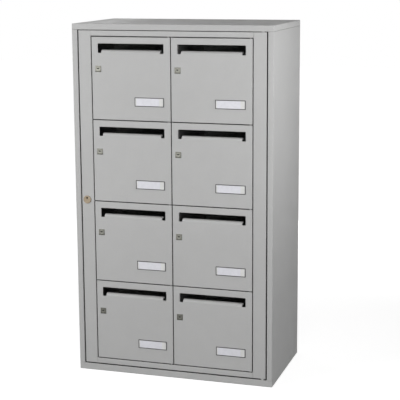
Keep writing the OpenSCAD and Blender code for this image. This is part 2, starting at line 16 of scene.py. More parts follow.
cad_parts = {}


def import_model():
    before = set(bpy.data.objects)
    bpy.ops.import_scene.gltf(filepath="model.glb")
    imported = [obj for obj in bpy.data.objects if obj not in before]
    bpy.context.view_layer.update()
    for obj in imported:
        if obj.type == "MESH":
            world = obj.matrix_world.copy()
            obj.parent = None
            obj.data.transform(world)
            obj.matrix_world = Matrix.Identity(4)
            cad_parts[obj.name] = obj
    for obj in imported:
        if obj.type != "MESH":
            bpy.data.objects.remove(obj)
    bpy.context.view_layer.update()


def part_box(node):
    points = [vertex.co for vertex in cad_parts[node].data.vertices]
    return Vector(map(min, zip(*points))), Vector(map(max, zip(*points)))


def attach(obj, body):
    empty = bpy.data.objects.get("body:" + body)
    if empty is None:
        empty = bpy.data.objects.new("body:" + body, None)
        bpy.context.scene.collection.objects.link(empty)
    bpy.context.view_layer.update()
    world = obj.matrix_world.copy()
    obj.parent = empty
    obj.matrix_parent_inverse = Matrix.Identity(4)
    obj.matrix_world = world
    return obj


log = logging.getLogger("mailbox_unit")

MM = 0.001
ROWS = (1, 2, 3, 4)
WHITE = (1.0, 1.0, 1.0, 1.0)

# Middle of a piece's front, as shares of its own box
MIDDLE = (0.5, 0.0, 0.5)

# Ranges of a noise: nearly all of its values, and those about its middle
NOISE_SPAN = (0.3, 0.7)
PATCH_SPAN = (0.4, 0.6)

Triple = tuple[float, float, float]
Colour = Triple
Span = tuple[float, float]
Socket = bpy.types.NodeSocket
Material = bpy.types.Material
BMesh = bmesh.types.BMesh


class Side(Enum):
    """The two columns of letter doors, as seen from the front."""

    LEFT = "left"
    RIGHT = "right"


class Space(Enum):
    """Where a finish takes its pattern from."""

    UNIT = "Object"
    OWN_BOX = "Generated"


class Marks(Enum):
    """How a metal surface was worked."""

    TURNED = "rings round the middle"
    BRUSHED = "fine lines along one way"
    CAST = "smooth with a soft ripple"


class NodeSheet:
    """A material's node tree, written one named step at a time.

    Attributes:
        corner_turn: Cosines of a surface's turn at which the corner mask starts and is full.
        corner_samples: Number of directions that are felt out for a corner.
        level_span: Upward shares of a normal at which the mask of level faces starts and is full.
    """

    corner_turn: Span = (0.99, 0.8)
    corner_samples: int = 4
    level_span: Span = (0.7, 0.98)

    def __init__(self, name: str) -> None:
        """Start a material that has only its shader and its output.

        Args:
            name: Name of the material.
        """
        self.material = bpy.data.materials.new(name)
        self.material.use_nodes = True
        self.tree = self.material.node_tree
        self.tree.nodes.clear()
        self.output = self.add("OutputMaterial")
        self.shader = self.add("BsdfPrincipled")
        self.feed(self.output.inputs["Surface"], self.shader.outputs["BSDF"])

    def add(self, kind: str, **settings: object) -> bpy.types.Node:
        """Add a node.

        Args:
            kind: The node's type without its ShaderNode prefix.
            **settings: Properties to set on the node.

        Returns:
            The new node.
        """
        node = self.tree.nodes.new("ShaderNode" + kind)
        for key, value in settings.items():
            setattr(node, key, value)
        return node

    def feed(self, socket: Socket, value: object) -> None:
        """Give a socket a link or a constant.

        Args:
            socket: The input to fill.
            value: Another node's output, a number or a tuple.
        """
        if isinstance(value, Socket):
            self.tree.links.new(value, socket)
        else:
            socket.default_value = value

    def set(self, **inputs: object) -> None:
        """Fill inputs of the principled shader.

        Args:
            **inputs: Socket names with underscores for spaces, and their values.
        """
        for key, value in inputs.items():
            socket = self.shader.inputs[key.replace("_", " ")]
            if isinstance(value, tuple) and len(value) == 3:
                value = (*value, 1.0)
            self.feed(socket, value)

    def place(self, space: Space) -> Socket:
        """Return the coordinates of a space."""
        return self.add("TexCoord").outputs[space.value]

    def scaled(self, place: Socket, by: Triple) -> Socket:
        """Stretch coordinates along their axes.

        Args:
            place: Coordinates.
            by: Factor along each axis.

        Returns:
            The stretched coordinates.
        """
        node = self.add("VectorMath", operation="MULTIPLY")
        self.feed(node.inputs[0], place)
        self.feed(node.inputs[1], by)
        return node.outputs[0]

    def grain(self, place: Socket, cell: float, detail: float = 2.0) -> Socket:
        """Cloudy noise.

        Args:
            place: Coordinates in metres.
            cell: Size of one blotch.
            detail: Number of finer layers.

        Returns:
            A factor around 0.5.
        """
        node = self.add("TexNoise")
        self.feed(node.inputs["Vector"], place)
        self.feed(node.inputs["Scale"], 1 / cell)
        self.feed(node.inputs["Detail"], detail)
        return node.outputs["Fac"]

    def remap(self, factor: Socket, start: float, end: float, low: float, high: float) -> Socket:
        """Map a factor smoothly from one range to another.

        Args:
            factor: The value to map.
            start: Value that gives low.
            end: Value that gives high.
            low: Lowest result.
            high: Highest result.

        Returns:
            The mapped value, held between low and high.
        """
        node = self.add("MapRange", interpolation_type="SMOOTHSTEP")
        for socket, value in zip(node.inputs, (factor, start, end, low, high)):
            self.feed(socket, value)
        return node.outputs[0]

    def mask(self, factor: Socket, start: float, full: float, most: float = 1.0) -> Socket:
        """Turn a factor into a mask that is 0 at the start and at its most at the full value."""
        return self.remap(factor, start, full, 0.0, most)

    def around(self, factor: Socket, middle: float, spread: float) -> Socket:
        """Turn noise into a value from middle - spread to middle + spread."""
        return self.remap(factor, *NOISE_SPAN, middle - spread, middle + spread)

    def sway(self, factor: Socket, share: float) -> Socket:
        """Turn noise into a multiplier from 1 - share to 1 + share."""
        return self.around(factor, 1.0, share)

    def faded(self, mask: Socket, left: float) -> Socket:
        """Turn a mask into a multiplier that goes smoothly from 1 to the share that is left."""
        return self.remap(mask, 0.0, 1.0, 1.0, left)

    def combined(self, operation: str, first: object, *others: object) -> Socket:
        """Join values with one arithmetic operation.

        Args:
            operation: Name of the operation, such as ADD or MULTIPLY.
            first: The first value.
            *others: Values joined to it in order.

        Returns:
            The result.
        """
        result = first
        for other in others:
            node = self.add("Math", operation=operation)
            self.feed(node.inputs[0], result)
            self.feed(node.inputs[1], other)
            result = node.outputs[0]
        return result

    def added(self, value: object, mask: Socket, by: float) -> Socket:
        """Add to a value, by the given amount where a mask is full."""
        return self.combined("ADD", value, self.combined("MULTIPLY", mask, by))

    def shaded(self, tone: Colour, shade: Socket) -> Socket:
        """Multiply a colour by a varying shade.

        Args:
            tone: The colour.
            shade: The multiplier.

        Returns:
            The shaded colour.
        """
        node = self.add("VectorMath", operation="SCALE")
        self.feed(node.inputs[0], tone)
        self.feed(node.inputs["Scale"], shade)
        return node.outputs[0]

    def blend(self, factor: Socket, first: object, second: object) -> Socket:
        """Blend two colours.

        Args:
            factor: 0 for the first colour and 1 for the second.
            first: A colour or a link.
            second: A colour or a link.

        Returns:
            The blended colour.
        """
        node = self.add("Mix", data_type="RGBA")
        sockets = {socket.identifier: socket for socket in node.inputs}
        self.feed(sockets["Factor_Float"], factor)
        for key, value in (("A_Color", first), ("B_Color", second)):
            self.feed(sockets[key], (*value, 1.0) if isinstance(value, tuple) else value)
        return next(socket for socket in node.outputs if socket.identifier == "Result_Color")

    def relief(self, height: Socket, depth: float) -> Socket:
        """Turn a height into a normal.

        Args:
            height: Height factor from 0 to 1.
            depth: Real depth of the relief.

        Returns:
            The normal.
        """
        node = self.add("Bump")
        self.feed(node.inputs["Height"], height)
        self.feed(node.inputs["Distance"], depth)
        return node.outputs["Normal"]

    def edges(self, reach: float) -> Socket:
        """Find corners.

        Args:
            reach: Distance from a corner at which the mask fades out.

        Returns:
            A mask that is 1 on a corner and 0 on flat ground.
        """
        soft = self.add("Bevel", samples=self.corner_samples)
        self.feed(soft.inputs["Radius"], reach)
        flat = self.add("NewGeometry")
        turn = self.add("VectorMath", operation="DOT_PRODUCT")
        self.feed(turn.inputs[0], soft.outputs["Normal"])
        self.feed(turn.inputs[1], flat.outputs["Normal"])
        return self.mask(turn.outputs["Value"], *self.corner_turn)

    def hollows(self, reach: float, shallow: float = 0.85, deep: float = 0.35, samples: int = 6) -> Socket:
        """Find hollows, where film gathers and where gaps, closed spaces and slots get painted shade.

        Args:
            reach: Distance to the walls that count.
            shallow: Openness at which the mask starts.
            deep: Openness at which it is full.
            samples: Number of directions that are felt out.

        Returns:
            A mask that is 1 deep in a hollow and 0 in the open.
        """
        node = self.add("AmbientOcclusion", samples=samples)
        self.feed(node.inputs["Distance"], reach)
        return self.mask(node.outputs["AO"], shallow, deep)

    def height(self) -> Socket:
        """Read the height above the floor.

        Returns:
            The height.
        """
        split = self.add("SeparateXYZ")
        self.feed(split.inputs[0], self.place(Space.UNIT))
        return split.outputs["Z"]

    def facing_up(self) -> Socket:
        """Find the level faces that dust settles on.

        Returns:
            A mask that is 1 on a level face.
        """
        split = self.add("SeparateXYZ")
        self.feed(split.inputs[0], self.add("NewGeometry").outputs["Normal"])
        return self.mask(split.outputs["Z"], *self.level_span)

    def from_middle(self, middle: Triple, size: Triple) -> Socket:
        """Measure the distance from a point of the piece's own box, across the front.

        Args:
            middle: The point, as shares of the box.
            size: Size of the box, with 0 for an axis that doesn't count.

        Returns:
            The distance in metres.
        """
        shift = self.add("VectorMath", operation="SUBTRACT")
        self.feed(shift.inputs[0], self.place(Space.OWN_BOX))
        self.feed(shift.inputs[1], middle)
        length = self.add("VectorMath", operation="LENGTH")
        self.feed(length.inputs[0], self.scaled(shift.outputs[0], size))
        return length.outputs["Value"]


@dataclass(frozen=True)
class HandledSpot:
    """A place on a door that hands and keys rub, as shares of the door's own box.

    Attributes:
        across: Share of the door's width from its left edge.
        up: Share of the door's height from its lower edge.
        door_size: Size of the door.
        reach: Radius of the rubbed patch.
        hair_cell: Width of a hairline scratch.
        hair_stretch: How the scratches are stretched along each axis.
        hair_span: Noise values at which a scratch starts and is full.
        least: Strength of the polish between scratches.
        lift: Share by which the patch is lighter.
        polish: Drop of the roughness.
    """

    across: float
    up: float
    door_size: Triple
    reach: float = 36 * MM
    hair_cell: float = 0.7 * MM
    hair_stretch: Triple = (1.0, 0.2, 0.08)
    hair_span: Span = (0.6, 0.72)
    least: float = 0.2
    lift: float = 0.05
    polish: float = 0.14

    def drawn(self, sheet: NodeSheet) -> Socket:
        """Draw the polish and hairline scratches that keys leave round a lock.

        Args:
            sheet: The sheet being written.

        Returns:
            A mask from 0 to 1.
        """
        width, _, height = self.door_size
        away = sheet.from_middle((self.across, 0.0, self.up), (width, 0.0, height))
        near = sheet.mask(away, self.reach, self.reach / 3)
        place = sheet.scaled(sheet.place(Space.UNIT), self.hair_stretch)
        hairs = sheet.remap(sheet.grain(place, self.hair_cell, detail=1), *self.hair_span, self.least, 1.0)
        return sheet.combined("MULTIPLY", near, hairs)


@dataclass(frozen=True)
class PowderCoat:
    """Satin powder paint baked on folded steel sheet.

    Attributes:
        name: Name of the material.
        tone: Colour of the paint.
        roughness: Mean roughness of the film.
        rough_spread: Amount by which it varies.
        gloss: Strength of the mirror-like reflection.
        cloud: Share by which the tone drifts over a panel.
        grime: Share by which handling and cleaning change it.
        speckle: Share by which single powder grains differ.
        cloud_cell: Size of one cloud of tone.
        grime_cell: Size of one patch of grime.
        peel_cell: Size of one bump of the orange peel.
        peel_depth: Depth of the orange peel.
        edge_reach: Width of the rubbed line along an edge.
        edge_lift: Share by which a rubbed edge is lighter.
        edge_least: Least strength of that wear.
        edge_polish: Drop of the roughness there.
        gap_reach: Greatest width of a gap that is darkened as painted shade.
        gap_openness: Openness at which such a gap starts to darken and is darkest.
        painted_gap_shade: Share of the tone that is left deep in it, as painted shade.
        room_reach: Size of a closed space that is darkened as painted shade.
        room_openness: Openness at which such a space starts to darken and is darkest.
        room_samples: Number of directions that are felt out for it.
        painted_room_shade: Share of the tone that is left in it, as painted shade.
        dust: Share of dust on level faces.
        dust_tone: Colour of the dust.
        dust_rough: Rise of the roughness under full dust.
    """

    name: str
    tone: Colour = (0.5, 0.5, 0.497)
    roughness: float = 0.55
    rough_spread: float = 0.05
    gloss: float = 0.2
    cloud: float = 0.012
    grime: float = 0.01
    speckle: float = 0.03
    cloud_cell: float = 0.32
    grime_cell: float = 0.045
    peel_cell: float = 1.8 * MM
    peel_depth: float = 0.035 * MM
    edge_reach: float = 1.4 * MM
    edge_lift: float = 0.1
    edge_least: float = 0.25
    edge_polish: float = 0.1
    gap_reach: float = 12 * MM
    gap_openness: Span = (0.45, 0.12)
    painted_gap_shade: float = 0.05
    room_reach: float = 0.4
    room_openness: Span = (0.2, 0.06)
    room_samples: int = 16
    painted_room_shade: float = 1.0
    dust: float = 0.0
    dust_tone: Colour = (0.46, 0.44, 0.41)
    dust_rough: float = 0.3

    def mixed(self, spot: HandledSpot | None = None) -> Material:
        """Mix the paint.

        Args:
            spot: A place that hands rub, if the piece has one.

        Returns:
            The material.
        """
        sheet = NodeSheet(self.name)
        place = sheet.place(Space.UNIT)
        grime = sheet.grain(place, self.grime_cell, detail=3)
        peel = sheet.grain(place, self.peel_cell, detail=1)
        patchy = sheet.remap(grime, *PATCH_SPAN, self.edge_least, 1.0)
        edge = sheet.combined("MULTIPLY", sheet.edges(self.edge_reach), patchy)
        shade = sheet.combined(
            "MULTIPLY",
            sheet.sway(sheet.grain(place, self.cloud_cell), self.cloud),
            sheet.sway(grime, self.grime),
            sheet.sway(sheet.grain(place, self.peel_cell / 2, detail=0), self.speckle),
            sheet.added(1.0, edge, self.edge_lift),
            # Painted shade: darker deep in narrow gaps, the less open they are.
            sheet.faded(sheet.hollows(self.gap_reach, *self.gap_openness), self.painted_gap_shade),
        )
        # Painted shade: darker inside closed spaces such as shut compartments.
        if self.painted_room_shade < 1:
            closed = sheet.hollows(self.room_reach, *self.room_openness, self.room_samples)
            shade = sheet.combined("MULTIPLY", shade, sheet.faded(closed, self.painted_room_shade))
        rough = sheet.added(sheet.around(grime, self.roughness, self.rough_spread), edge, -self.edge_polish)
        if spot is not None:
            rub = spot.drawn(sheet)
            shade = sheet.combined("MULTIPLY", shade, sheet.faded(rub, 1 + spot.lift))
            rough = sheet.added(rough, rub, -spot.polish)
        colour = sheet.shaded(self.tone, shade)
        if self.dust:
            settled = sheet.combined("MULTIPLY", sheet.facing_up(), patchy, self.dust)
            colour = sheet.blend(settled, colour, self.dust_tone)
            rough = sheet.added(rough, settled, self.dust_rough)
        sheet.set(Base_Color=colour, Roughness=rough, Specular_IOR_Level=self.gloss,
                  Normal=sheet.relief(peel, self.peel_depth))
        return sheet.material


@dataclass(frozen=True)
class WorkedMetal:
    """Plated or bare metal with fine marks from working, film in its hollows, rubbed edges, and painted
    shade near the floor, along the lower edge and in slots.

    Attributes:
        name: Name of the material.
        tone: Colour of the metal.
        film: Colour of the dull film that gathers in hollows, which is also laid along the lower edge as a
            painted shadow.
        roughness: Mean roughness.
        marks: How the surface was worked.
        mark_cell: Spacing of the marks.
        mark_depth: Depth of the marks.
        line_stretch: How brushed lines are stretched along each axis.
        rough_spread: Amount by which the roughness varies.
        blotch: Share by which the tone drifts.
        blotch_cell: Size of one blotch.
        edge_lift: Share by which a rubbed edge is brighter.
        edge_least: Least strength of that wear.
        edge_reach: Width of a rubbed edge.
        own_size: Size of the piece's own box, with 0 for an axis that doesn't count.
        wear_reach: Radius round the middle that keys have worn.
        scrape_cell: Width of one scrape there.
        scrape_span: Noise values at which a scrape starts and is full.
        worn_shade: Share of the tone that is left there.
        worn_rough: Rise of the roughness there.
        film_reach: Width of a hollow that film gathers in.
        film_share: Greatest cover of that film.
        film_rough: Rise of the roughness under it.
        painted_shadow_band: Height of the painted shadow along the lower edge.
        painted_shadow_share: Greatest cover of that painted shadow.
        shaded_slot_reach: Depth of a slot whose walls are painted near black as shade.
        slot_openness: Openness at which it starts and is full.
        grease_and_shade_reach: Half the height of the dark patch round the key slot, which is grease with
            painted keyhole shade.
        grease_rise: Height of that patch above the middle.
        grease_and_shade_share: Greatest cover of that patch.
        grease_and_shade: Colour of that grease and painted shade, also used for the painted shade in slots.
        painted_low_shade: Share of the tone that is left near the floor, as painted shade that darkens lower
            pieces.
        low_span: Heights at which that painted shade is full and ends.
    """

    name: str
    tone: Colour
    film: Colour
    roughness: float
    marks: Marks
    mark_cell: float = 0.25 * MM
    mark_depth: float = 0.006 * MM
    line_stretch: Triple = (1.0, 1.0, 0.05)
    rough_spread: float = 0.06
    blotch: float = 0.07
    blotch_cell: float = 5 * MM
    edge_lift: float = 0.25
    edge_least: float = 0.3
    edge_reach: float = 0.4 * MM
    own_size: Triple = (20 * MM, 0.0, 20 * MM)
    wear_reach: float = 0.0
    scrape_cell: float = 0.5 * MM
    scrape_span: Span = (0.45, 0.65)
    worn_shade: float = 0.72
    worn_rough: float = 0.18
    film_reach: float = 1.5 * MM
    film_share: float = 0.8
    film_rough: float = 0.25
    painted_shadow_band: float = 0.0
    painted_shadow_share: float = 0.9
    shaded_slot_reach: float = 6 * MM
    slot_openness: Span = (0.5, 0.2)
    grease_and_shade_reach: float = 0.0
    grease_rise: float = 1.4 * MM
    grease_and_shade_share: float = 0.85
    grease_and_shade: Colour = (0.008, 0.008, 0.007)
    painted_low_shade: float = 1.0
    low_span: Span = (0.05, 0.75)

    def mixed(self) -> Material:
        """Mix the metal.

        Returns:
            The material.
        """
        sheet = NodeSheet(self.name)
        place = sheet.place(Space.UNIT)
        blotch = sheet.grain(place, self.blotch_cell, detail=3)
        patchy = sheet.remap(blotch, *PATCH_SPAN, self.edge_least, 1.0)
        edge = sheet.combined("MULTIPLY", sheet.edges(self.edge_reach), patchy)
        shade = sheet.combined(
            "MULTIPLY",
            sheet.sway(blotch, self.blotch),
            sheet.added(1.0, edge, self.edge_lift),
            # Painted shade: darker towards the floor.
            sheet.remap(sheet.height(), *self.low_span, self.painted_low_shade, 1.0),
        )
        rough = sheet.around(blotch, self.roughness, self.rough_spread)
        if self.wear_reach:
            worn = self.scraped(sheet, place)
            shade = sheet.combined("MULTIPLY", shade, sheet.faded(worn, self.worn_shade))
            rough = sheet.added(rough, worn, self.worn_rough)
        dull = sheet.combined("MULTIPLY", sheet.hollows(self.film_reach), self.film_share)
        colour = sheet.blend(dull, sheet.shaded(self.tone, shade), self.film)
        width, depth, height = self.own_size
        # Painted shadow: the film colour laid along the lower edge.
        if self.painted_shadow_band:
            drop = sheet.from_middle((0.0, 0.0, 1.0), (0.0, 0.0, height))
            shadow_band_mask = sheet.mask(drop, height - self.painted_shadow_band, height, self.painted_shadow_share)
            colour = sheet.blend(shadow_band_mask, colour, self.film)
        # Painted shade: deep slots are filled near black.
        colour = sheet.blend(sheet.hollows(self.shaded_slot_reach, *self.slot_openness), colour, self.grease_and_shade)
        # Grease with painted keyhole shade: a dark patch just above the middle.
        if self.grease_and_shade_reach:
            middle = (0.5, 0.0, 0.5 + self.grease_rise / height)
            away = sheet.from_middle(middle, (width / 2, depth, height))
            grease_and_shade_mask = sheet.mask(away, self.grease_and_shade_reach, self.grease_and_shade_reach / 2, self.grease_and_shade_share)
            colour = sheet.blend(grease_and_shade_mask, colour, self.grease_and_shade)
        rough = sheet.added(rough, dull, self.film_rough)
        sheet.set(Base_Color=colour, Metallic=1.0, Roughness=rough,
                  Normal=sheet.relief(self.worked(sheet, place), self.mark_depth))
        return sheet.material

    def scraped(self, sheet: NodeSheet, place: Socket) -> Socket:
        """Draw the scrapes that keys leave round the middle.

        Args:
            sheet: The sheet being written.
            place: Coordinates in metres.

        Returns:
            A mask from 0 to 1.
        """
        away = sheet.from_middle(MIDDLE, self.own_size)
        near = sheet.mask(away, self.wear_reach, self.wear_reach / 2)
        scrapes = sheet.mask(sheet.grain(place, self.scrape_cell), *self.scrape_span)
        return sheet.combined("MULTIPLY", near, scrapes)

    def worked(self, sheet: NodeSheet, place: Socket) -> Socket:
        """Draw the marks that the work left.

        Args:
            sheet: The sheet being written.
            place: Coordinates in metres.

        Returns:
            A height factor.
        """
        if self.marks is Marks.TURNED:
            rings = sheet.add("TexNoise", noise_dimensions="1D")
            sheet.feed(rings.inputs["W"], sheet.from_middle(MIDDLE, self.own_size))
            sheet.feed(rings.inputs["Scale"], 1 / self.mark_cell)
            return rings.outputs["Fac"]
        if self.marks is Marks.BRUSHED:
            place = sheet.scaled(place, self.line_stretch)
        return sheet.grain(place, self.mark_cell)


@dataclass(frozen=True)
class MouldedPlastic:
    """Injection-moulded plastic with a fine spark-eroded skin.

    Attributes:
        name: Name of the material.
        tone: Colour of the plastic.
        roughness: Mean roughness.
        rough_spread: Amount by which it varies.
        flow: Share by which the tone drifts.
        flow_cell: Size of one cloud of tone.
        skin: Share by which single grains of the skin differ.
        skin_cell: Size of the skin's grain.
        skin_depth: Depth of the skin's grain.
        edge_lift: Share by which a rubbed edge is lighter.
        edge_reach: Width of a rubbed edge.
    """

    name: str
    tone: Colour
    roughness: float = 0.42
    rough_spread: float = 0.06
    flow: float = 0.04
    flow_cell: float = 18 * MM
    skin: float = 0.03
    skin_cell: float = 0.35 * MM
    skin_depth: float = 0.008 * MM
    edge_lift: float = 0.3
    edge_reach: float = 0.5 * MM

    def mixed(self) -> Material:
        """Mix the plastic.

        Returns:
            The material.
        """
        sheet = NodeSheet(self.name)
        place = sheet.place(Space.UNIT)
        flow = sheet.grain(place, self.flow_cell, detail=3)
        skin = sheet.grain(place, self.skin_cell, detail=1)
        shade = sheet.combined(
            "MULTIPLY",
            sheet.sway(flow, self.flow),
            sheet.sway(skin, self.skin),
            sheet.added(1.0, sheet.edges(self.edge_reach), self.edge_lift),
        )
        sheet.set(Base_Color=sheet.shaded(self.tone, shade),
                  Roughness=sheet.around(flow, self.roughness, self.rough_spread),
                  Normal=sheet.relief(skin, self.skin_depth))
        return sheet.material


@dataclass(frozen=True)
class CardPaper:
    """Smooth white card with short fibres, under a thin glossy film.

    Attributes:
        name: Name of the material.
        tone: Colour of the card.
        roughness: Mean roughness of the card.
        rough_spread: Amount by which it varies.
        film: Strength of the glossy film's own reflection.
        film_roughness: Roughness of the film.
        fibres: Share by which single fibres differ.
        fibre_cell: Length of a fibre.
        fibre_stretch: How the fibres are stretched along each axis.
        fibre_depth: Depth of the fibres.
        handled: Share by which fingers have dulled it in patches.
        handled_cell: Size of such a patch.
    """

    name: str
    tone: Colour
    roughness: float = 0.525
    rough_spread: float = 0.075
    film: float = 0.5
    film_roughness: float = 0.16
    fibres: float = 0.02
    fibre_cell: float = 0.5 * MM
    fibre_stretch: Triple = (0.35, 1.0, 1.0)
    fibre_depth: float = 0.004 * MM
    handled: float = 0.03
    handled_cell: float = 11 * MM

    def mixed(self) -> Material:
        """Mix the card and its film.

        Returns:
            The material.
        """
        sheet = NodeSheet(self.name)
        place = sheet.place(Space.UNIT)
        fibres = sheet.grain(sheet.scaled(place, self.fibre_stretch), self.fibre_cell, detail=3)
        clouds = sheet.grain(place, self.handled_cell)
        shade = sheet.combined("MULTIPLY", sheet.sway(fibres, self.fibres), sheet.sway(clouds, self.handled))
        sheet.set(Base_Color=sheet.shaded(self.tone, shade),
                  Roughness=sheet.around(clouds, self.roughness, self.rough_spread),
                  Coat_Weight=self.film, Coat_Roughness=self.film_roughness,
                  Normal=sheet.relief(fibres, self.fibre_depth))
        return sheet.material


@dataclass(frozen=True)
class EasedEdge:
    """The small round that tumbling, folding or paint leaves on a sharp edge.

    Attributes:
        radius: Size of the round.
        segments: Number of facets across it.
        sharper_than: Least turn of an edge that is rounded, in degrees.
        weld_gap: Greatest distance of points that are welded first.
        flat_turn: Greatest turn between facets that are joined into one face, in degrees.
    """

    radius: float
    segments: int = 2
    sharper_than: float = 40.0
    weld_gap: float = 0.002 * MM
    flat_turn: float = 0.5

    def put_on(self, piece: bpy.types.Object) -> None:
        """Round a piece's sharp edges with modifiers.

        Args:
            piece: The mesh object.
        """
        weld = piece.modifiers.new("weld", "WELD")
        weld.merge_threshold = self.weld_gap
        flats = piece.modifiers.new("flats", "DECIMATE")
        flats.decimate_type = "DISSOLVE"
        flats.angle_limit = math.radians(self.flat_turn)
        ease = piece.modifiers.new("ease", "BEVEL")
        ease.width = self.radius
        ease.segments = self.segments
        ease.limit_method = "ANGLE"
        ease.angle_limit = math.radians(self.sharper_than)
        ease.harden_normals = True


@dataclass(frozen=True)
class Finishes:
    """Every finish of the unit, mixed once.

    Attributes:
        case_paint: Paint of the case, with painted shade in closed spaces.
        inner_paint: Paint inside the case, with dust on level faces and painted shade in closed spaces.
        frame_paint: Paint of the service frame.
        door_paint: Paint of the letter doors, rubbed round the locks.
        rim_plastic: Dark rim of a name plate.
        carrier_plastic: White carrier behind a name card.
        card_paper: The name card.
        lock_chrome: Body of a letter lock.
        plug_chrome: Key plug of a letter lock.
        lock_brass: Face of the service lock.
        plated_steel: Cams.
        pin_steel: Pins, pivots and the strike.
        rivet_metal: Blind rivets.
    """

    case_paint: Material
    inner_paint: Material
    frame_paint: Material
    door_paint: Material
    rim_plastic: Material
    carrier_plastic: Material
    card_paper: Material
    lock_chrome: Material
    plug_chrome: Material
    lock_brass: Material
    plated_steel: Material
    pin_steel: Material
    rivet_metal: Material

    @classmethod
    def mixed(cls) -> "Finishes":
        """Mix every finish.

        Returns:
            The finishes.
        """
        door_low, door_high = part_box("door_left_1")
        lock_low, lock_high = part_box("lock_body_left_1")
        size = door_high - door_low
        lock = (lock_low + lock_high) / 2 - door_low
        spot = HandledSpot(across=lock.x / size.x, up=lock.z / size.z, door_size=tuple(size))
        zinc, zinc_film_and_shadow = (0.2, 0.2, 0.175), (0.045, 0.045, 0.036)
        plug_zinc, ripple_cell = (0.27, 0.27, 0.24), 1.5 * MM
        steel, steel_film = (0.5, 0.5, 0.49), (0.16, 0.15, 0.13)
        return cls(
            # Case and inner paint are darkened in closed spaces as painted shade.
            case_paint=PowderCoat("case powder coat", dust=0.12, painted_room_shade=0.3).mixed(),
            inner_paint=PowderCoat("inner powder coat", dust=0.5, painted_room_shade=0.3).mixed(),
            frame_paint=PowderCoat("frame powder coat").mixed(),
            door_paint=PowderCoat("door powder coat").mixed(spot),
            rim_plastic=MouldedPlastic("dark rim plastic", (0.055, 0.055, 0.058)).mixed(),
            carrier_plastic=MouldedPlastic("white carrier plastic", (0.72, 0.72, 0.71), roughness=0.35,
                                           edge_lift=0.04).mixed(),
            card_paper=CardPaper("name card", (0.74, 0.74, 0.79)).mixed(),
            # The lock body carries painted shade near the floor and a painted shadow along its lower edge;
            # the plug carries painted shade near the floor and a dark patch of grease and painted keyhole
            # shade.
            lock_chrome=WorkedMetal("satin chrome", zinc, zinc_film_and_shadow, roughness=0.4, marks=Marks.CAST,
                                    mark_cell=ripple_cell, own_size=(0.0, 0.0, lock_high.z - lock_low.z),
                                    painted_shadow_band=5 * MM, painted_low_shade=0.5).mixed(),
            plug_chrome=WorkedMetal("worn chrome", plug_zinc, zinc_film_and_shadow, roughness=0.42,
                                    marks=Marks.TURNED, own_size=(12.4 * MM, 0.0, 12.4 * MM),
                                    wear_reach=6 * MM, grease_and_shade_reach=2.8 * MM, painted_low_shade=0.5).mixed(),
            lock_brass=WorkedMetal("dulled brass", (0.27, 0.222, 0.162), (0.08, 0.065, 0.045),
                                   roughness=0.4, marks=Marks.TURNED,
                                   own_size=(30 * MM, 0.0, 30 * MM)).mixed(),
            plated_steel=WorkedMetal("zinc plated steel", steel, steel_film, roughness=0.38,
                                     marks=Marks.BRUSHED).mixed(),
            pin_steel=WorkedMetal("plated pin steel", steel, steel_film, roughness=0.33,
                                  marks=Marks.BRUSHED, mark_cell=0.4 * MM).mixed(),
            rivet_metal=WorkedMetal("rivet aluminium", (0.6, 0.6, 0.6), steel_film, roughness=0.4,
                                    marks=Marks.CAST, mark_cell=ripple_cell).mixed(),
        )


def dress(node: str, finish: Material, ease: EasedEdge | None = None) -> None:
    """Give a frame node its finish and its eased edges.

    Args:
        node: Name of the node.
        finish: The material.
        ease: How its sharp edges are rounded, or None to leave them.
    """
    piece = bpy.data.objects[node]
    for slot in piece.material_slots:
        slot.material = finish
    if ease is not None:
        ease.put_on(piece)
    log.info("dressed %s in %s", node, finish.name)


def round_outline(width: float, height: float, corner: float, steps: int = 6) -> list[tuple[float, float]]:
    """Draw a rectangle with round corners about its middle.

    Args:
        width: Size across.
        height: Size up.
        corner: Radius of the corners.
        steps: Number of facets on each corner.

    Returns:
        The points, anticlockwise.
    """
    points = []
    for quarter, (across, up) in enumerate(((1, 1), (-1, 1), (-1, -1), (1, -1))):
        for step in range(steps + 1):
            angle = (quarter + step / steps) * math.pi / 2
            points.append((across * (width / 2 - corner) + corner * math.cos(angle),
                           up * (height / 2 - corner) + corner * math.sin(angle)))
    return points


@dataclass(frozen=True)
class Slab:
    """A thin plate with round corners and an eased front edge, lying across the front.

    Attributes:
        width: Size along X.
        height: Size along Z.
        thickness: Size along Y.
        corner: Radius of its corners.
        ease: Radius of its front edge.
    """

    width: float
    height: float
    thickness: float
    corner: float
    ease: float

    def add_to(self, shape: BMesh, middle: Vector) -> None:
        """Add the slab to a mesh.

        Args:
            shape: The mesh to add to.
            middle: Middle of its back face.
        """
        rings = [self.ring(shape, middle, 0.0, 0.0)]
        for angle in (0.0, math.pi / 4, math.pi / 2):
            inset = self.ease * (1 - math.cos(angle))
            rise = self.thickness - self.ease + self.ease * math.sin(angle)
            rings.append(self.ring(shape, middle, inset, rise))
        count = len(rings[0])
        for back, front in zip(rings, rings[1:]):
            for i in range(count):
                j = (i + 1) % count
                shape.faces.new((back[i], back[j], front[j], front[i]))
        shape.faces.new(rings[0][::-1])
        shape.faces.new(rings[-1])

    def ring(self, shape: BMesh, middle: Vector, inset: float, rise: float) -> list[bmesh.types.BMVert]:
        """Add a ring of points, inset from the outline and raised from the back face's middle."""
        outline = round_outline(self.width - 2 * inset, self.height - 2 * inset, self.corner)
        return [shape.verts.new(middle + Vector((x, -rise, z))) for x, z in outline]


@dataclass
class SteelWork:
    """Folded sheet and steel fittings that are dressed together.

    Attributes:
        finishes: The unit's finishes.
        sheet_ease: Round on the edges of painted sheet.
        metal_ease: Round on the edges of turned and pressed metal.
    """

    finishes: Finishes
    sheet_ease: EasedEdge = EasedEdge(0.3 * MM)
    metal_ease: EasedEdge = EasedEdge(0.2 * MM)


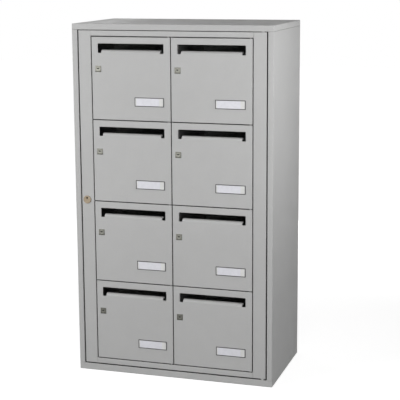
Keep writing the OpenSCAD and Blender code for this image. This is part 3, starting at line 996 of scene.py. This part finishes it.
@dataclass
class Case(SteelWork):
    """The fixed shell: panels, shelves, divider, rivets, pivots and strike."""

    def dress(self) -> None:
        """Dress the case's nodes."""
        for node in ("side_panel_left", "side_panel_right", "back_panel", "top_panel", "base_tray"):
            dress(node, self.finishes.case_paint, self.sheet_ease)
        for node in ("centre_divider", "shelves"):
            dress(node, self.finishes.inner_paint, self.sheet_ease)
        for node in ("service_pivots", "service_strike"):
            dress(node, self.finishes.pin_steel, self.metal_ease)
        dress("case_rivets", self.finishes.rivet_metal)


@dataclass
class ServiceFrame(SteelWork):
    """The hinged frame that carries every letter door, with its lock.

    Attributes:
        plug_ease: Round on the key plug, whose wall is thin beside the key slot.
    """

    plug_ease: EasedEdge = EasedEdge(0.07 * MM, 1)

    def dress(self) -> None:
        """Dress the frame's nodes and its lock."""
        for node in ("frame_stile_left", "frame_stile_right", "frame_rail_top", "frame_rail_bottom"):
            dress(node, self.finishes.frame_paint, self.sheet_ease)
        for node in ("frame_mullion", "frame_crossbars"):
            dress(node, self.finishes.inner_paint, self.sheet_ease)
        dress("door_pins", self.finishes.pin_steel, self.metal_ease)
        dress("service_lock_body", self.finishes.lock_brass, self.metal_ease)
        dress("service_lock_plug", self.finishes.lock_brass, self.plug_ease)
        dress("service_lock_cam", self.finishes.plated_steel, self.metal_ease)


@dataclass
class LetterDoor:
    """One letter door with its name plate, card and cam lock.

    Attributes:
        side: Column that the door is in.
        row: Row that it is in, from the top.
        finishes: The unit's finishes.
        rim: Width of the name plate's rim.
        bed_depth: Depth of the card's bed behind the rim.
        play: Gap between the bed's walls and the carrier.
        carrier_thickness: Thickness of the white carrier.
        carrier_corner: Radius of its corners.
        carrier_ease: Round on its front edges.
        lip: Width of the carrier's lip at each end.
        lip_rise: Height of a lip above the carrier.
        lip_short: Length by which it is lower than the carrier.
        lip_corner: Radius of a lip's corners.
        card_thickness: Thickness of the card.
        card_left: Distance from the carrier's left end to the card.
        card_right: Distance from the card to the carrier's right end.
        card_short: Length by which it is lower than the carrier.
        card_corner: Radius of the card's corners.
        card_ease: Round on the card's front edge.
        sheet_ease: Round on the edges of the door sheet.
        lock_ease: Round on the edges of the lock and its cam.
        plate_ease: Round on the edges of the name plate.
    """

    side: Side
    row: int
    finishes: Finishes
    rim: float = 2.2 * MM
    bed_depth: float = 1.0 * MM
    play: float = 0.15 * MM
    carrier_thickness: float = 0.45 * MM
    carrier_corner: float = 0.8 * MM
    carrier_ease: float = 0.12 * MM
    lip: float = 1.1 * MM
    lip_rise: float = 0.35 * MM
    lip_short: float = 1.2 * MM
    lip_corner: float = 0.3 * MM
    card_thickness: float = 0.25 * MM
    card_left: float = 4.0 * MM
    card_right: float = 14.0 * MM
    card_short: float = 0.8 * MM
    card_corner: float = 0.5 * MM
    card_ease: float = 0.06 * MM
    sheet_ease: EasedEdge = EasedEdge(0.25 * MM)
    lock_ease: EasedEdge = EasedEdge(0.15 * MM)
    plate_ease: EasedEdge = EasedEdge(0.2 * MM)

    @property
    def key(self) -> str:
        """The end of every node's name on this door."""
        return f"{self.side.value}_{self.row}"

    @property
    def body(self) -> str:
        """The body that the door's pieces ride on."""
        return f"letter_door_{self.key}"

    def dress(self) -> None:
        """Dress the door's nodes."""
        dress(f"door_{self.key}", self.finishes.door_paint, self.sheet_ease)
        dress(f"name_plate_{self.key}", self.finishes.rim_plastic, self.plate_ease)
        dress(f"lock_body_{self.key}", self.finishes.lock_chrome, self.lock_ease)
        dress(f"lock_plug_{self.key}", self.finishes.plug_chrome, self.lock_ease)
        dress(f"lock_cam_{self.key}", self.finishes.plated_steel, self.lock_ease)

    def fill_plate(self) -> None:
        """Put a white carrier with a lip at each end, and the name card on it, into the plate's bed."""
        low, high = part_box(f"name_plate_{self.key}")
        width = high.x - low.x - 2 * (self.rim + self.play)
        height = high.z - low.z - 2 * (self.rim + self.play)
        bed = Vector(((low.x + high.x) / 2, low.y + self.bed_depth, (low.z + high.z) / 2))
        front = bed - Vector((0, self.carrier_thickness, 0))
        carrier = Slab(width, height, self.carrier_thickness, self.carrier_corner, self.carrier_ease)
        lip = Slab(self.lip, height - self.lip_short, self.lip_rise, self.lip_corner, self.carrier_ease)
        end = Vector((width / 2 - self.lip, 0, 0))
        self.make_insert("card_carrier", self.finishes.carrier_plastic,
                         (carrier, bed), (lip, front - end), (lip, front + end))
        card = Slab(width - self.card_left - self.card_right, height - self.card_short,
                    self.card_thickness, self.card_corner, self.card_ease)
        shift = Vector(((self.card_left - self.card_right) / 2, 0, 0))
        self.make_insert("name_card", self.finishes.card_paper, (card, front + shift))

    def make_insert(self, start: str, finish: Material, *slabs: tuple[Slab, Vector]) -> None:
        """Make a piece that lies in the name plate and rides on the door.

        Args:
            start: Start of the piece's name.
            finish: Its material.
            *slabs: The slabs that it is made of, each with the middle of its back face.
        """
        shape = bmesh.new()
        for slab, middle in slabs:
            slab.add_to(shape, middle)
        bmesh.ops.recalc_face_normals(shape, faces=shape.faces)
        name = f"{start}_{self.key}"
        mesh = bpy.data.meshes.new(name)
        shape.to_mesh(mesh)
        shape.free()
        mesh.materials.append(finish)
        piece = bpy.data.objects.new(name, mesh)
        bpy.context.scene.collection.objects.link(piece)
        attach(piece, self.body)
        log.info("made %s on %s", name, self.body)


@dataclass(frozen=True)
class SoftLight:
    """A soft box that hangs round the unit and faces it.

    Attributes:
        name: Name of the light.
        azimuth: Direction from the unit, in degrees from the front towards the right.
        elevation: Height of that direction, in degrees above level.
        distance: Distance from the aim point.
        size: Width of the soft box.
        watts: Its power.
        aim_height: Height that it points at.
    """

    name: str
    azimuth: float
    elevation: float
    distance: float
    size: float
    watts: float
    aim_height: float = 0.6

    def hang(self) -> None:
        """Hang the light, turned towards its aim point."""
        lamp = bpy.data.lights.new(self.name, "AREA")
        lamp.shape = "SQUARE"
        lamp.size = self.size
        lamp.energy = self.watts
        light = bpy.data.objects.new(self.name, lamp)
        bpy.context.scene.collection.objects.link(light)
        back = direction(self.azimuth, self.elevation)
        light.location = Vector((0, 0, self.aim_height)) + back * self.distance
        light.rotation_mode = "QUATERNION"
        light.rotation_quaternion = (-back).to_track_quat("-Z", "Y")
        log.info("hung %s", self.name)


def direction(azimuth: float, elevation: float) -> Vector:
    """Return a unit vector away from the unit, by degrees right of the front and above level."""
    turn, lift = math.radians(azimuth), math.radians(elevation)
    return Vector((math.sin(turn) * math.cos(lift), -math.cos(turn) * math.cos(lift), math.sin(lift)))


@dataclass
class Studio:
    """A white studio: pale floor, white surroundings and soft lights.

    Attributes:
        lights: The soft boxes.
        ambient: Strength of the even light from all round.
        floor_half: Half the floor's width.
        floor_drop: Depth of the floor under the unit.
        floor_glow: Share of the floor's white that doesn't depend on light.
        floor_tone: Colour of the floor.
        fade: Distances between which the floor's own white grows to full.
    """

    lights: tuple[SoftLight, ...] = (
        SoftLight("left front light", azimuth=-45, elevation=20, distance=2.6, size=1.6, watts=36),
        SoftLight("right front light", azimuth=25, elevation=5, distance=2.6, size=1.8, watts=27.5,
                  aim_height=1.05),
        SoftLight("near side light", azimuth=72, elevation=0, distance=1.2, size=0.7, watts=6.2,
                  aim_height=1.2),
        SoftLight("left rear light", azimuth=-140, elevation=20, distance=2.0, size=1.0, watts=6.5,
                  aim_height=1.2),
        SoftLight("back fill", azimuth=180, elevation=0, distance=2.4, size=1.1, watts=14),
    )
    ambient: float = 0.05
    floor_half: float = 12.0
    floor_drop: float = 0.2 * MM
    floor_glow: float = 0.8
    floor_tone: Colour = (0.46, 0.46, 0.46)
    fade: Span = (1.0, 2.0)

    def build(self) -> None:
        """Lay the floor, light the surroundings and hang the lights."""
        self.lay_floor()
        self.light_surroundings()
        for light in self.lights:
            light.hang()

    def lay_floor(self) -> None:
        """Lay the floor just under the unit."""
        shape = bmesh.new()
        bmesh.ops.create_grid(shape, x_segments=1, y_segments=1, size=self.floor_half)
        mesh = bpy.data.meshes.new("studio_floor")
        shape.to_mesh(mesh)
        shape.free()
        mesh.materials.append(self.floor_finish())
        floor = bpy.data.objects.new("studio_floor", mesh)
        floor.location.z = -self.floor_drop
        bpy.context.scene.collection.objects.link(floor)
        log.info("laid the floor")

    def floor_finish(self) -> Material:
        """Mix a floor that looks white and still takes the unit's shadow.

        Returns:
            The material.
        """
        sheet = NodeSheet("studio floor")
        seen = seen_directly(sheet)
        away = sheet.add("VectorMath", operation="LENGTH")
        sheet.feed(away.inputs[0], sheet.place(Space.UNIT))
        white = sheet.remap(away.outputs["Value"], *self.fade, self.floor_glow, 1.0)
        glow = sheet.add("Emission")
        sheet.feed(glow.inputs["Color"], WHITE)
        sheet.feed(glow.inputs["Strength"], sheet.combined("MULTIPLY", seen, white))
        sheet.set(Base_Color=self.floor_tone, Roughness=1.0, Specular_IOR_Level=0.0)
        both = sheet.add("AddShader")
        sheet.feed(both.inputs[0], sheet.shader.outputs["BSDF"])
        sheet.feed(both.inputs[1], glow.outputs["Emission"])
        sheet.feed(sheet.output.inputs["Surface"], both.outputs["Shader"])
        return sheet.material

    def light_surroundings(self) -> None:
        """Make the world white where it is seen, and a soft even light elsewhere."""
        world = bpy.data.worlds.new("white surroundings")
        bpy.context.scene.world = world
        world.use_nodes = True
        sheet = WorldSheet(world)
        strength = sheet.remap(seen_directly(sheet), 0.0, 1.0, self.ambient, 1.0)
        sheet.feed(sheet.background.inputs["Strength"], strength)
        sheet.feed(sheet.background.inputs["Color"], WHITE)
        log.info("lit the surroundings")


class WorldSheet(NodeSheet):
    """A world's node tree, written as a material's is."""

    def __init__(self, world: bpy.types.World) -> None:
        """Start a world that has only its background.

        Args:
            world: The world to write.
        """
        self.tree = world.node_tree
        self.tree.nodes.clear()
        self.output = self.add("OutputWorld")
        self.background = self.add("Background")
        self.feed(self.output.inputs["Surface"], self.background.outputs["Background"])


def seen_directly(sheet: NodeSheet) -> Socket:
    """Find the rays that show a surface straight, in a mirror or through glass.

    Args:
        sheet: The sheet being written.

    Returns:
        1 for such a ray and 0 for any other.
    """
    path = sheet.add("LightPath")
    outputs = (path.outputs[f"Is {kind} Ray"] for kind in ("Camera", "Glossy", "Transmission"))
    return sheet.combined("MAXIMUM", *outputs)


@dataclass(frozen=True)
class PhotoCamera:
    """The camera at the photograph's viewing angle.

    Attributes:
        place: Where the camera stands.
        azimuth: Degrees from the front towards the right.
        elevation: Degrees above level.
        roll: Degrees of roll about the view axis.
        sensor: Width of the sensor, in mm.
        lens: Focal length, in mm.
        shift_up: Vertical shift, as a share of the picture's width.
    """

    place: Triple = (1.2446, -3.8426, 1.3918)
    azimuth: float = 17.413
    elevation: float = 10.537
    roll: float = -0.353
    sensor: float = 36.0
    lens: float = 106.45
    shift_up: float = -0.04

    def stand(self) -> None:
        """Set the camera up and make it the scene's own."""
        data = bpy.data.cameras.new("photo camera")
        data.sensor_width = self.sensor
        data.lens = self.lens
        data.shift_y = self.shift_up
        camera = bpy.data.objects.new("photo camera", data)
        bpy.context.scene.collection.objects.link(camera)
        back = direction(self.azimuth, self.elevation)
        right = Vector((0, 0, 1)).cross(back).normalized()
        up = back.cross(right)
        frame = Matrix((right, up, back)).transposed().to_4x4()
        turn = Matrix.Rotation(math.radians(self.roll), 4, "Z")
        camera.matrix_world = Matrix.Translation(self.place) @ frame @ turn
        bpy.context.scene.camera = camera
        log.info("set up the camera")


def main() -> None:
    logging.basicConfig(level=logging.INFO, format="%(name)s: %(message)s")
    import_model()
    bpy.context.scene.view_settings.view_transform = "Standard"
    PhotoCamera().stand()
    finishes = Finishes.mixed()
    Case(finishes).dress()
    ServiceFrame(finishes).dress()
    for side in Side:
        for row in ROWS:
            door = LetterDoor(side, row, finishes)
            door.dress()
            door.fill_plate()
    Studio().build()


if __name__ == "__main__":
    main()
